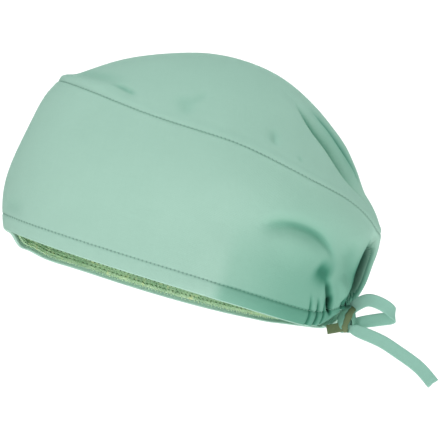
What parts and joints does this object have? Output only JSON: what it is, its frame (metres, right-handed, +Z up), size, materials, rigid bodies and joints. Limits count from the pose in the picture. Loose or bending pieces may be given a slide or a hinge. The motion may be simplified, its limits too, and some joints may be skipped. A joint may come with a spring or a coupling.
{
  "type": "tie-back cloth cap",
  "caption": "Soft tie-back cap: side band with a turned-up hem, crown panel, inner sweatband, and a tie in a half bow at the back.",
  "frame": {"origin": "the middle of the head opening, where a head holds the cap up", "axes": "+Z up out of the crown, -Y towards the face, +X towards the wearer's left"},
  "size_m": [0.1698, 0.2838, 0.2212],
  "materials": {
    "mint_cloth": "matte plain weave",
    "green_towelling": "matte towelling",
    "olive_cloth": "matte plain weave"
  },
  "bodies": {
    "root": {"side_band": "mint_cloth", "crown_panel": "mint_cloth", "sweatband": "green_towelling", "tie_knot": "mint_cloth", "bow_loop": "mint_cloth", "free_end": "mint_cloth", "short_end": "olive_cloth"}
  },
  "joints": []
}
